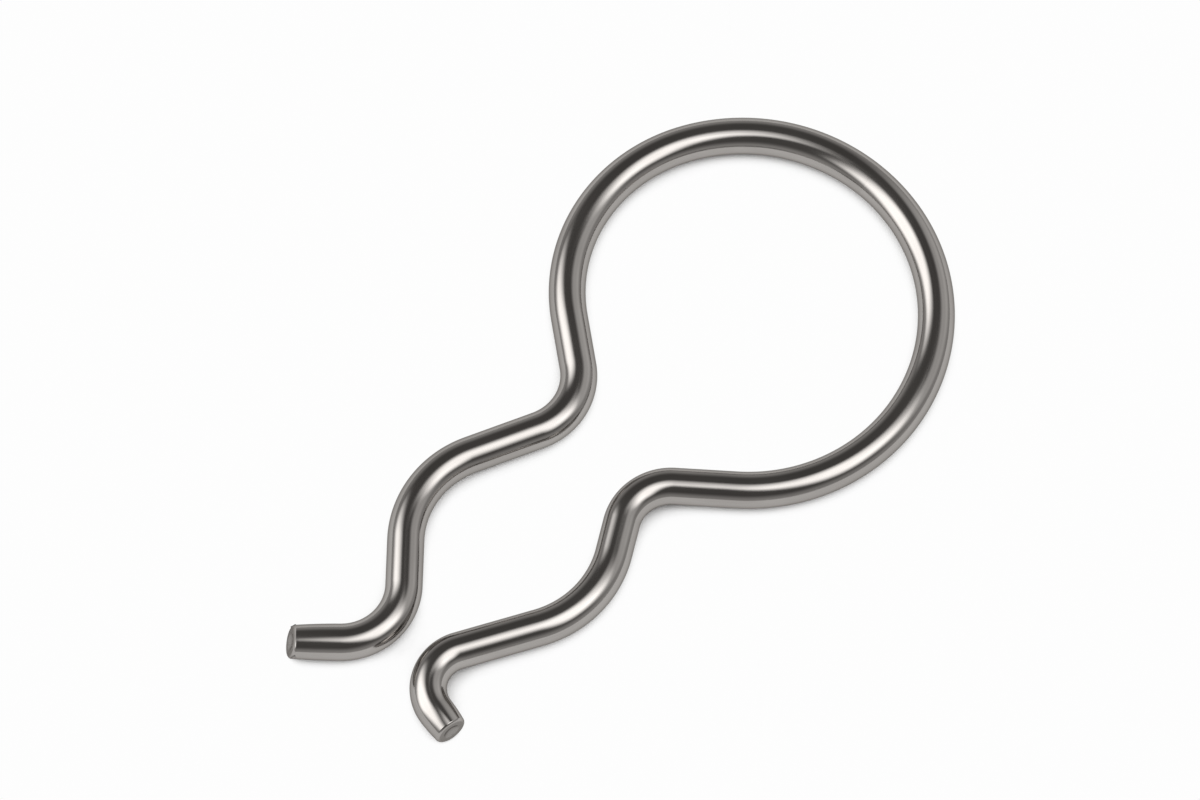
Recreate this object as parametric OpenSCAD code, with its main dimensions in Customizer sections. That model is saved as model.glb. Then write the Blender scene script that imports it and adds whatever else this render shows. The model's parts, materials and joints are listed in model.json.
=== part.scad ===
// Spring clip: one length of round spring wire, bent cold into a round loop and two waved legs.
// Each leg runs from the loop over a neck, a seat and a throat to a short flared tail.
// The clip lies flat on z = 0, with the middle of its loop at the origin and its mouth towards +X.

/* [Wire] */
// Diameter of the spring wire
wire_d = 3; // [2:0.1:4]
// Diameter that each tail tapers to at its cut end
tip_d = 2.7; // [1.8:0.1:3.6]
// Width of the chamfer round each cut end
end_chamfer = 0.25; // [0.1:0.05:0.4]
// Width of the dimple in each cut end
dimple_d = 1.4; // [0.6:0.1:1.6]
// Depth of the dimple in each cut end
dimple_depth = 0.2; // [0.1:0.05:0.4]

/* [Loop] */
// Inside diameter of the loop round its far side
loop_inner_d = 28.2; // [22:0.1:36]
// Clear gap between the legs at the neck
neck_gap = 6.3; // [4:0.1:9]
// Clear gap between the legs at the throat
throat_gap = 2.3; // [1:0.1:5]

/* [Long leg] */
// Angle from the loop's far side to the start of the shoulder
long_shoulder_angle = 60; // [45:1:85]
// Inside radius of the shoulder
long_shoulder_r = 12.2; // [10:0.1:16]
// Distance of the neck beyond the round of the shoulder
long_neck_reach = 3.8; // [2.8:0.1:6]
// Inside radius of the neck bend
long_neck_r = 3.6; // [2:0.1:5]
// Distance from neck to seat along the clip
long_seat_pitch = 11; // [8:0.1:14]
// Distance from the middle of the clip to the inside of the seat
long_seat_reach = 7; // [5:0.05:9]
// Inside radius of the seat bend
long_seat_r = 6.6; // [4:0.1:9]
// Distance from seat to throat along the clip
long_throat_pitch = 11.6; // [9:0.1:15]
// Inside radius of the throat bend
long_throat_r = 3.5; // [1.5:0.1:5]
// Angle that the tail flares by
long_tail_angle = 47.5; // [30:0.5:85]
// Length of the straight tail
long_tail_l = 4; // [2:0.1:8]
// Angle that the cut end leans back by
long_cut_lean = 18; // [0:1:25]

/* [Short leg] */
// Angle from the loop's far side to the start of the shoulder
short_shoulder_angle = 80; // [45:1:85]
// Inside radius of the shoulder
short_shoulder_r = 13.7; // [10:0.1:16]
// Distance of the neck beyond the round of the shoulder
short_neck_reach = 2.9; // [2.2:0.1:5]
// Inside radius of the neck bend
short_neck_r = 2.6; // [1.5:0.1:4]
// Distance from neck to seat along the clip
short_seat_pitch = 8.7; // [7:0.1:12]
// Distance from the middle of the clip to the inside of the seat
short_seat_reach = 6.15; // [5:0.05:8]
// Inside radius of the seat bend
short_seat_r = 7.3; // [4:0.1:9]
// Distance from seat to throat along the clip
short_throat_pitch = 11.9; // [9:0.1:15]
// Inside radius of the throat bend
short_throat_r = 1.85; // [1:0.05:4]
// Angle that the tail flares by
short_tail_angle = 79; // [30:0.5:85]
// Length of the straight tail
short_tail_l = 2.1; // [1.5:0.1:6]
// Angle that the cut end leans back by
short_cut_lean = 6; // [0:1:25]

/* [Hidden] */
$fn = 64;
wire_r = wire_d / 2;
loop_r = loop_inner_d / 2 + wire_r;
neck_y = neck_gap / 2 + wire_r;
throat_y = throat_gap / 2 + wire_r;
// Amount that the wire's diameter draws down where it is bent tighter than the loop
bend_draw = 0.02;
bend_d = wire_d - bend_draw;
// Length that the full wire laps into each drawn-down bend, and the angle of that length round the loop
lap = bend_draw;
lap_angle = lap / loop_r * 180 / PI;
// Share of the room between two bends that their radii may fill, so that a straight run is left
room_share = 0.98;

// A bend is [x, y, q]: its centre, and the wire's radius about it, above zero where the wire turns left.

// Share of the wished radii that fits between two opposite bends whose crests lie dx apart and dy across
function crest_share(dx, dy, radii) =
    dy > 0 ? min(1, room_share * (dx * dx + dy * dy) / (2 * dy * radii)) : 1;

// Share of the wished neck radius that fits beside the shoulder, for a crest dx and dy from its centre
function neck_share(dx, dy, shoulder, neck) =
    min(1, room_share * (dx * dx + dy * dy - shoulder * shoulder) / (2 * (shoulder - dy) * neck));

// The four bends of one leg, drawn on the +Y side: shoulder, neck, seat and throat
function leg_bends(shoulder_angle, shoulder_r, neck_reach, neck_r, seat_pitch, seat_reach, seat_r,
                   throat_pitch, throat_r) =
    let (
        shoulder = shoulder_r + wire_r,
        neck = neck_r + wire_r,
        seat = seat_r + wire_r,
        throat = throat_r + wire_r,
        centre = (loop_r - shoulder) * [-cos(shoulder_angle), sin(shoulder_angle)],
        neck_x = centre.x + shoulder + neck_reach,
        seat_x = neck_x + seat_pitch,
        throat_x = seat_x + throat_pitch,
        seat_y = seat_reach + wire_r,
        at_neck = neck_share(neck_x - centre.x, neck_y - centre.y, shoulder, neck),
        neck_to_seat = crest_share(seat_pitch, seat_y - neck_y, neck + seat),
        seat_to_throat = crest_share(throat_pitch, seat_y - throat_y, seat + throat),
        neck_q = neck * min(at_neck, neck_to_seat),
        seat_q = seat * min(neck_to_seat, seat_to_throat),
        throat_q = throat * seat_to_throat
    )
    [
        [centre.x, centre.y, -shoulder],
        [neck_x, neck_y + neck_q, neck_q],
        [seat_x, seat_y - seat_q, -seat_q],
        [throat_x, throat_y + throat_q, throat_q]
    ];

// Heading of the straight run between two bends
function heading(bend, next) =
    atan2(next.y - bend.y, next.x - bend.x)
    - asin((next.z - bend.z) / norm([next.x - bend.x, next.y - bend.y]));

// Where the wire leaves or meets a bend at a given heading
function wire_at(bend, heading) = [bend.x + bend.z * sin(heading), bend.y - bend.z * cos(heading)];

module bent_wire(bend, from, to, d = bend_d)
    translate([bend.x, bend.y])
        rotate(bend.z > 0 ? from - 90 : to + 90)
            rotate_extrude(angle = abs(to - from))
                translate([abs(bend.z), 0])
                    circle(d = d);

module straight_wire(start, end, heading)
    translate(start)
        rotate([0, 90, heading])
            translate([0, 0, -lap])
                cylinder(d = wire_d, h = norm(end - start) + 2 * lap);

// Turned form of a cut end, with its chamfer and dimple, facing +Z
module cut_end(depth) {
    dimple_r = (dimple_d * dimple_d / 4 + dimple_depth * dimple_depth) / (2 * dimple_depth);
    face_r = tip_d / 2 - end_chamfer;
    difference() {
        translate([0, 0, -depth])
            cylinder(r1 = face_r + depth, r2 = face_r, h = depth);
        translate([0, 0, dimple_r - dimple_depth])
            sphere(r = dimple_r);
    }
}

// Straight tail along +X, tapered to its cut end
module tail(tail_l, cut_lean) {
    spare = wire_r;
    taper = (wire_d - tip_d) / 2 / tail_l;
    intersection() {
        rotate([0, 90, 0])
            translate([0, 0, -lap])
                cylinder(r1 = wire_r, r2 = wire_r - taper * (tail_l + spare), h = tail_l + spare + lap);
        translate([tail_l, 0])
            rotate([0, 90 - cut_lean, 0])
                cut_end(tail_l + wire_d);
    }
}

module leg(bends, shoulder_angle, tail_angle, tail_l, cut_lean) {
    last = len(bends) - 1;
    headings = [
        90 - shoulder_angle,
        for (i = [0 : last - 1]) heading(bends[i], bends[i + 1]),
        tail_angle
    ];
    for (i = [0 : last])
        bent_wire(bends[i], headings[i], headings[i + 1]);
    for (i = [0 : last - 1])
        straight_wire(
            wire_at(bends[i], headings[i + 1]),
            wire_at(bends[i + 1], headings[i + 1]),
            headings[i + 1]
        );
    translate(wire_at(bends[last], tail_angle))
        rotate(tail_angle)
            tail(tail_l, cut_lean);
}

module spring_clip()
    color("silver")
        translate([0, 0, wire_r]) {
            bent_wire(
                [0, 0, -loop_r],
                90 + long_shoulder_angle + lap_angle,
                90 - short_shoulder_angle - lap_angle,
                wire_d
            );
            mirror([0, 1, 0])
                leg(
                    leg_bends(long_shoulder_angle, long_shoulder_r, long_neck_reach, long_neck_r,
                              long_seat_pitch, long_seat_reach, long_seat_r,
                              long_throat_pitch, long_throat_r),
                    long_shoulder_angle, long_tail_angle, long_tail_l, long_cut_lean
                );
            leg(
                leg_bends(short_shoulder_angle, short_shoulder_r, short_neck_reach, short_neck_r,
                          short_seat_pitch, short_seat_reach, short_seat_r,
                          short_throat_pitch, short_throat_r),
                short_shoulder_angle, short_tail_angle, short_tail_l, short_cut_lean
            );
        }

spring_clip();
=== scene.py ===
import json
import math

import bpy
from mathutils import Matrix, Quaternion, Vector
from mathutils.kdtree import KDTree

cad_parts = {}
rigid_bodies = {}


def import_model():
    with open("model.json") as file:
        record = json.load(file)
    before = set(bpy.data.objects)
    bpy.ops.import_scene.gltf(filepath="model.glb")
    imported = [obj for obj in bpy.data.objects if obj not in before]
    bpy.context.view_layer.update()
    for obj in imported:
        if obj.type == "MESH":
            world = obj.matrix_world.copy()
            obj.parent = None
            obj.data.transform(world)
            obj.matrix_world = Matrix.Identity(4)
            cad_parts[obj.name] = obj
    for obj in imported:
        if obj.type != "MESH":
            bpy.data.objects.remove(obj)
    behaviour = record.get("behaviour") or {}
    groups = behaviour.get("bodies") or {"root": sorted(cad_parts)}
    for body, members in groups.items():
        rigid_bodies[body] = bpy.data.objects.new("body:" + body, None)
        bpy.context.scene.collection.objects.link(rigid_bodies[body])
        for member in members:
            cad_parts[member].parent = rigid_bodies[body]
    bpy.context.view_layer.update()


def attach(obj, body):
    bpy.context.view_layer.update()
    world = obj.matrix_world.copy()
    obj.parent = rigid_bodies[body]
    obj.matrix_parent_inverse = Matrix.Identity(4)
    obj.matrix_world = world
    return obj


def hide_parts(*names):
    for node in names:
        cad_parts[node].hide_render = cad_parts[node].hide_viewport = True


bpy.ops.object.select_all(action="SELECT")
bpy.ops.object.delete()
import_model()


# The spring wire.
# One length of hard-drawn steel wire, 3 mm thick, with a bright polished skin. It is wound into an open
# loop and bent cold into two waved legs, and each tail is cut across, chamfered and dimpled.
MM = 0.001
wire_r = 1.5 * MM
tip_r = 1.35 * MM
loop_r = 15.6 * MM
neck_y = 4.65 * MM
throat_y = 2.65 * MM

long_leg = {
    "side": -1,
    "shoulder_angle": math.radians(60),
    "shoulder_r": 13.7 * MM,
    "neck_reach": 3.8 * MM,
    "neck_r": 5.1 * MM,
    "seat_pitch": 11 * MM,
    "seat_y": 8.5 * MM,
    "seat_r": 8.1 * MM,
    "throat_pitch": 11.6 * MM,
    "throat_r": 5 * MM,
    "tail_angle": math.radians(47.5),
    "tail_l": 4 * MM,
    "cut_lean": math.radians(18),
}
short_leg = {
    "side": 1,
    "shoulder_angle": math.radians(80),
    "shoulder_r": 15.2 * MM,
    "neck_reach": 2.9 * MM,
    "neck_r": 4.1 * MM,
    "seat_pitch": 8.7 * MM,
    "seat_y": 7.65 * MM,
    "seat_r": 8.8 * MM,
    "throat_pitch": 11.9 * MM,
    "throat_r": 3.35 * MM,
    "tail_angle": math.radians(79),
    "tail_l": 2.1 * MM,
    "cut_lean": math.radians(6),
}


def leg_bends(leg):
    """Middle and radius of each bend of a leg as if on the +Y side, the radius below zero to the right."""
    off_middle = loop_r - leg["shoulder_r"]
    x = -off_middle * math.cos(leg["shoulder_angle"])
    y = off_middle * math.sin(leg["shoulder_angle"])
    neck_x = x + leg["shoulder_r"] + leg["neck_reach"]
    seat_x = neck_x + leg["seat_pitch"]
    throat_x = seat_x + leg["throat_pitch"]
    return [
        (x, y, -leg["shoulder_r"]),
        (neck_x, neck_y + leg["neck_r"], leg["neck_r"]),
        (seat_x, leg["seat_y"] - leg["seat_r"], -leg["seat_r"]),
        (throat_x, throat_y + leg["throat_r"], leg["throat_r"]),
    ]


def run_heading(bend, after):
    """Heading of the straight run from one bend to the one after it."""
    along, across = after[0] - bend[0], after[1] - bend[1]
    return math.atan2(across, along) - math.asin((after[2] - bend[2]) / math.hypot(along, across))


def bend_point(bend, heading):
    """Where the middle of the wire passes a bend at a given heading."""
    x, y, radius = bend
    return x + radius * math.sin(heading), y - radius * math.cos(heading)


def leg_route(leg):
    """Each bend from the far side of the loop to the tail, the headings into it and out of it, the
    straight run after it and the wire's radius at the end of that run. The last run goes past the cut."""
    bends = [(0, 0, -loop_r)] + leg_bends(leg)
    headings = [math.pi / 2, math.pi / 2 - leg["shoulder_angle"]]
    runs = [0]
    for bend, after in zip(bends[1:], bends[2:]):
        heading = run_heading(bend, after)
        headings.append(heading)
        runs.append(math.dist(bend_point(bend, heading), bend_point(after, heading)))
    headings.append(leg["tail_angle"])
    runs.append(leg["tail_l"] + wire_r)
    end_radii = [wire_r] * (len(bends) - 1) + [tip_r]
    return list(zip(bends, headings, headings[1:], runs, end_radii))


ring_points = 96
bpy.ops.object.select_all(action="DESELECT")
bpy.ops.mesh.primitive_circle_add(
    vertices=ring_points, radius=wire_r, location=(-loop_r, 0, wire_r), rotation=(math.pi / 2, 0, 0)
)
wire = bpy.context.object
wire.name = wire.data.name = "spring_wire"
bpy.ops.object.transform_apply(location=True, rotation=True, scale=True)


def pick(piece, kind, wanted, mode):
    """Selects, in edit mode, only those vertices or polygons of a piece that a test picks."""
    bpy.ops.object.mode_set(mode="OBJECT")
    for parts in (piece.data.vertices, piece.data.edges, piece.data.polygons):
        parts.foreach_set("select", [False] * len(parts))
    for part in getattr(piece.data, kind):
        part.select = wanted(part)
    bpy.ops.object.mode_set(mode="EDIT")
    bpy.ops.mesh.select_mode(type=mode)


turn_step = math.radians(1.6)
run_step = 0.5 * MM
on_start = 0.0015 * MM
past_bend = 0.1 * MM
cut_reach = 3 * wire_r
weld = 0.0001 * MM

cuts = []
for leg in (long_leg, short_leg):
    side = leg["side"]
    pick(wire, "vertices", lambda point: abs(point.co.y) < on_start and point.co.x < 0, "VERT")
    thick = wire_r
    for bend, come, leave, run, end_r in leg_route(leg):
        turn = side * (leave - come)
        bpy.ops.mesh.spin(
            steps=max(2, math.ceil(abs(turn) / turn_step)),
            angle=-turn,
            center=(bend[0], side * bend[1], wire_r),
            axis=(0, 0, 1),
        )
        x, y = bend_point(bend, leave)
        start = Vector((x, side * y, wire_r))
        ahead = Vector((math.cos(leave), side * math.sin(leave), 0))
        steps = math.ceil(run / run_step)
        for i in range(1, steps + 1):
            bpy.ops.mesh.extrude_region_move(TRANSFORM_OT_translate={"value": ahead * (run / steps)})
            done = run * i / steps
            slim = wire_r - (wire_r - end_r) * min(1, done / leg["tail_l"]) ** 2
            if slim < thick:
                bpy.ops.transform.resize(value=[slim / thick] * 3, center_override=start + ahead * done)
                thick = slim
    middle = start + ahead * leg["tail_l"]
    facing = ahead * math.cos(leg["cut_lean"]) + Vector((0, 0, math.sin(leg["cut_lean"])))
    pick(
        wire,
        "vertices",
        lambda point: (point.co - start).dot(ahead) > past_bend and (point.co - middle).length < cut_reach,
        "VERT",
    )
    bpy.ops.mesh.bisect(plane_co=middle, plane_no=facing, use_fill=True, clear_outer=True, threshold=weld)
    cuts.append((middle, facing))
bpy.ops.mesh.select_all(action="SELECT")
bpy.ops.mesh.normals_make_consistent(inside=False)

end_chamfer = 0.25 * MM
chamfer_steps = 4
dimple_r = 0.7 * MM
dimple_depth = 0.2 * MM
dimple_rings = 6
square_on = 0.99


def pick_end_face(piece, middle, facing):
    """Selects the flat face of a cut end, the biggest one there that looks the way of the cut."""
    bpy.ops.object.mode_set(mode="OBJECT")
    near = [face for face in piece.data.polygons if (face.center - middle).length < wire_r]
    flat = [face for face in near if face.normal.dot(facing) > square_on]
    biggest = max(flat, key=lambda face: face.area).index
    pick(piece, "polygons", lambda face: face.index == biggest, "FACE")


sphere_r = (dimple_r**2 + dimple_depth**2) / (2 * dimple_depth)
for middle, facing in cuts:
    pick_end_face(wire, middle, facing)
    bpy.ops.mesh.region_to_loop()
    bpy.ops.mesh.bevel(offset=end_chamfer, segments=chamfer_steps, affect="EDGES")
    pick_end_face(wire, middle, facing)
    bpy.ops.mesh.inset(thickness=tip_r - end_chamfer - dimple_r)
    reach, sunk = dimple_r, 0
    for i in range(1, dimple_rings):
        inner = dimple_r * (1 - i / dimple_rings)
        depth = math.sqrt(sphere_r**2 - inner**2) - (sphere_r - dimple_depth)
        bpy.ops.mesh.inset(thickness=reach - inner, depth=sunk - depth)
        reach, sunk = inner, depth
    bpy.ops.mesh.poke(offset=sunk - dimple_depth)
bpy.ops.object.mode_set(mode="OBJECT")
crease_angle = math.radians(28)
bpy.ops.object.shade_smooth_by_angle(angle=crease_angle)

line_turn = math.radians(0.5)
line_step = 0.1 * MM


def middle_line(leg):
    """Close points along the middle of a leg: place, heading, side, and length from the loop's far side."""
    side, length, line = leg["side"], 0, []
    for bend, come, leave, run, _ in leg_route(leg):
        steps = max(2, math.ceil(abs(leave - come) / line_turn))
        for i in range(steps + 1):
            heading = come + (leave - come) * i / steps
            x, y = bend_point(bend, heading)
            done = abs(bend[2] * (heading - come))
            line.append((Vector((x, side * y, wire_r)), heading, side, length + done))
        length += abs(bend[2] * (leave - come))
        start = line[-1][0]
        ahead = Vector((math.cos(leave), side * math.sin(leave), 0))
        steps = math.ceil(run / line_step)
        for i in range(1, steps + 1):
            done = run * i / steps
            line.append((start + ahead * done, leave, side, length + done))
        length += run
    return line


sawn_depth = 0.3 * MM
sawn_r = 1.15 * MM


def on_cut(place, middle, facing):
    """Whether a place is on the flat or in the dimple of a cut end."""
    off = place - middle
    sunk = off.dot(facing)
    return abs(sunk) < sawn_depth and (off - facing * sunk).length < sawn_r


line = middle_line(long_leg) + middle_line(short_leg)
nearest = KDTree(len(line))
for i, (place, _, _, _) in enumerate(line):
    nearest.insert(place, i)
nearest.balance()
drawn, cut = [], []
for point in wire.data.vertices:
    place, heading, side, length = line[nearest.find(point.co)[1]]
    off = point.co - place
    ahead = Vector((math.cos(heading), side * math.sin(heading), 0))
    across = Vector((-side * math.sin(heading), math.cos(heading), 0))
    drawn += [off.dot(across), off.z, side * (length + off.dot(ahead))]
    cut.append(float(any(on_cut(point.co, middle, facing) for middle, facing in cuts)))
wire.data.attributes.new("drawn", "FLOAT_VECTOR", "POINT").data.foreach_set("vector", drawn)
wire.data.attributes.new("cut", "FLOAT", "POINT").data.foreach_set("value", cut)
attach(wire, "root")
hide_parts("spring_clip")


class Shade:
    """A socket in a tree of nodes. Sums on it add the nodes that work them out."""

    def __init__(self, tree, socket=None):
        self.tree = tree
        self.socket = socket

    def node(self, kind, settings=None, sockets=None, out=0):
        """Adds a node, sets it up, fills or links its sockets, and gives one of its outputs."""
        made = self.tree.nodes.new(kind)
        for name, value in (settings or {}).items():
            setattr(made, name, value)
        for name, value in (sockets or {}).items():
            if isinstance(value, Shade):
                self.tree.links.new(value.socket, made.inputs[name])
            else:
                made.inputs[name].default_value = value
        return Shade(self.tree, made.outputs[out] if made.outputs else None)

    def sum(self, operation, first, second):
        return self.node("ShaderNodeMath", {"operation": operation}, {0: first, 1: second})

    def __add__(self, other):
        return self.sum("ADD", self, other)

    __radd__ = __add__

    def __sub__(self, other):
        return self.sum("SUBTRACT", self, other)

    def __rsub__(self, other):
        return self.sum("SUBTRACT", other, self)

    def __mul__(self, other):
        return self.sum("MULTIPLY", self, other)

    __rmul__ = __mul__


def soft_step(value, low, high):
    """Rises softly from 0 to 1 as a value goes from low to high."""
    settings = {"interpolation_type": "SMOOTHSTEP"}
    return value.node("ShaderNodeMapRange", settings, {0: value, 1: low, 2: high, 3: 0, 4: 1})


def blended(share, first, second):
    """Goes from the first colour to the second as a share goes from 0 to 1."""
    return share.node("ShaderNodeMix", {"data_type": "RGBA"}, {0: share, 6: first, 7: second}, 2)


def blank_nodes(owner):
    """Clears the nodes of a material, a lamp or a world, ready for new ones."""
    owner.use_nodes = True
    owner.node_tree.nodes.clear()
    return Shade(owner.node_tree)


steel = bpy.data.materials.new("bright_drawn_steel")
ink = blank_nodes(steel)
along_wire = ink.node("ShaderNodeAttribute", {"attribute_name": "drawn"}, None, "Vector")
sawn = ink.node("ShaderNodeAttribute", {"attribute_name": "cut"}, None, "Fac")


def uneven(across, along, detail):
    """Patches of noise, so many to the metre across the wire and along it."""
    sockets = {0: along_wire, 1: (across, across, along)}
    place = ink.node("ShaderNodeVectorMath", {"operation": "MULTIPLY"}, sockets)
    return ink.node("ShaderNodeTexNoise", None, {"Vector": place, "Scale": 1, "Detail": detail})


die_lines = uneven(across=7000, along=60, detail=3)
swells = uneven(across=260, along=130, detail=1)
clouds = uneven(across=500, along=160, detail=3)

dull_steel = (0.35, 0.332, 0.317, 1)
bright_steel = (0.39, 0.372, 0.356, 1)
scored_steel = (0.25, 0.24, 0.23, 1)
sawn_steel = (0.22, 0.21, 0.2, 1)
edge_tint = (0.42, 0.41, 0.4, 1)
score_share, sawn_share = 0.35, 0.6
shine = blended(soft_step(clouds, 0.3, 0.7), dull_steel, bright_steel)
shine = blended(soft_step(die_lines, 0.62, 0.75) * score_share, shine, scored_steel)
shine = blended(sawn * sawn_share, shine, sawn_steel)

polish_rough, cloud_rough, score_rough, sawn_rough = 0.1, 0.05, 0.06, 0.12
rough = clouds * cloud_rough + polish_rough
rough = rough + soft_step(die_lines, 0.5, 0.8) * score_rough + sawn * sawn_rough

swell_height = 0.02 * MM
score_height_share = 0.04
height = die_lines * score_height_share + swells * (1 - sawn)
bumped = ink.node("ShaderNodeBump", None, {"Strength": 1, "Distance": swell_height, "Height": height})
surface = ink.node(
    "ShaderNodeBsdfPrincipled",
    None,
    {
        "Base Color": shine,
        "Roughness": rough,
        "Metallic": 1,
        "Normal": bumped,
        "Specular Tint": edge_tint,
    },
)
ink.node("ShaderNodeOutputMaterial", None, {"Surface": surface})
wire.data.materials.clear()
wire.data.materials.append(steel)


# The floor.
# A sheet of smooth white board that the clip lies flat on, wide enough to fill the view. It is lit to
# plain white, and only close round the wire does it keep a soft shadow.
board_size = 6
bpy.ops.object.select_all(action="DESELECT")
bpy.ops.mesh.primitive_plane_add(size=board_size, location=(0, 0, 0))
floor = bpy.context.object
floor.name = "white_board"

paper_white = (0.85, 0.85, 0.85, 1)
lit_white = (0.985, 0.985, 0.985, 1)
shadow_reach = 4 * MM
board = bpy.data.materials.new("white_board")
ink = blank_nodes(board)
straight = ink.node("ShaderNodeLightPath", None, None, "Is Camera Ray")
mirrored = ink.node("ShaderNodeLightPath", None, None, "Is Glossy Ray")
through = ink.node("ShaderNodeLightPath", None, None, "Is Transmission Ray")
looked_at = soft_step(straight + mirrored + through, 0, 1)
openness = ink.node("ShaderNodeAmbientOcclusion", {"samples": 16}, {"Distance": shadow_reach}, "AO")
paper = ink.node("ShaderNodeBsdfDiffuse", None, {"Color": paper_white})
glare = ink.node("ShaderNodeEmission", None, {"Color": lit_white, "Strength": 1})
lit_share = looked_at * soft_step(openness, 0.28, 0.62)
surface = ink.node("ShaderNodeMixShader", None, {0: lit_share, 1: paper, 2: glare})
ink.node("ShaderNodeOutputMaterial", None, {"Surface": surface})
floor.data.materials.append(board)


# The camera and the light.
# A long lens looks steeply down on the clip. Two soft boxes hang over it, left and right, with a pale
# card beyond, in a dim studio whose grey walls show near the horizon.
turn_about = math.radians(132.95)
look_down = math.radians(68)
across_view = Vector((math.cos(turn_about), math.sin(turn_about), 0))
away = Vector((-math.sin(turn_about), math.cos(turn_about), 0))
back = Vector((0, 0, math.sin(look_down))) - away * math.cos(look_down)
upright = back.cross(across_view)
aim = Vector((13.018 * MM, -3.732 * MM, 0))
stand_off = 800 * MM
eye = aim + back * stand_off
bpy.ops.object.camera_add()
camera = bpy.context.object
rows = [(across_view[i], upright[i], back[i], eye[i]) for i in range(3)]
camera.matrix_world = Matrix(rows + [(0, 0, 0, 1)])
camera.data.sensor_width = 36
camera.data.lens = 297.25
camera.data.clip_start = 10 * MM
bpy.context.scene.camera = camera


def soft_box(name, turn, rise, half_wide, half_deep, roll, fade, strength):
    """A lamp a metre from the clip that faces it and fades to its rim. Its turn is from the view's right
    and its rise from the floor, in degrees, and its half sizes, in metres, are where it is half as bright."""
    turn, rise, roll = math.radians(turn), math.radians(rise), math.radians(roll)
    level = across_view * math.cos(turn) + away * math.sin(turn)
    place = level * math.cos(rise) + Vector((0, 0, math.sin(rise)))
    bpy.ops.object.light_add(type="AREA", location=place)
    lamp = bpy.context.object
    lamp.name = name
    lamp.rotation_mode = "QUATERNION"
    lamp.rotation_quaternion = (-place).to_track_quat("-Z", "Y") @ Quaternion((0, 0, 1), roll)
    rim = 1 + fade
    lamp.data.shape = "RECTANGLE"
    lamp.data.size, lamp.data.size_y = 2 * rim * half_wide, 2 * rim * half_deep
    lamp.data.energy = strength * math.pi * lamp.data.size * lamp.data.size_y
    ink = blank_nodes(lamp.data)
    spot = ink.node("ShaderNodeNewGeometry", None, None, "Parametric")
    fourths = []
    for axis in ("X", "Y"):
        share = ink.node("ShaderNodeSeparateXYZ", None, {"Vector": spot}, axis)
        off = (share * 2 - 1) * rim
        square = off * off
        fourths.append(square * square)
    reach = ink.node("ShaderNodeMath", {"operation": "POWER"}, {0: fourths[0] + fourths[1], 1: 1 / 4})
    glow = ink.node("ShaderNodeEmission", None, {"Strength": 1 - soft_step(reach, 1 - fade, rim)})
    ink.node("ShaderNodeOutputLight", None, {"Surface": glow})


soft_box("left_box", turn=181, rise=39.5, half_wide=0.54, half_deep=0.46, roll=-30, fade=0.5, strength=2.7)
soft_box("right_box", turn=-32, rise=66, half_wide=0.28, half_deep=0.47, roll=0, fade=0.65, strength=2.6)
soft_box("pale_card", turn=18, rise=38, half_wide=0.7, half_deep=0.37, roll=-19, fade=0.55, strength=0.6)

grey_wall = (0.46, 0.455, 0.45, 1)
dark_ceiling = (0.11, 0.107, 0.104, 1)
world = bpy.data.worlds.new("studio")
bpy.context.scene.world = world
ink = blank_nodes(world)
direction = ink.node("ShaderNodeTexCoord", None, None, "Generated")
height = ink.node("ShaderNodeSeparateXYZ", None, {"Vector": direction}, "Z")
gloom = blended(soft_step(height, 0.12, 0.62), grey_wall, dark_ceiling)
sky = ink.node("ShaderNodeBackground", None, {"Color": gloom, "Strength": 1})
ink.node("ShaderNodeOutputWorld", None, {"Surface": sky})

bpy.context.scene.view_settings.view_transform = "Standard"
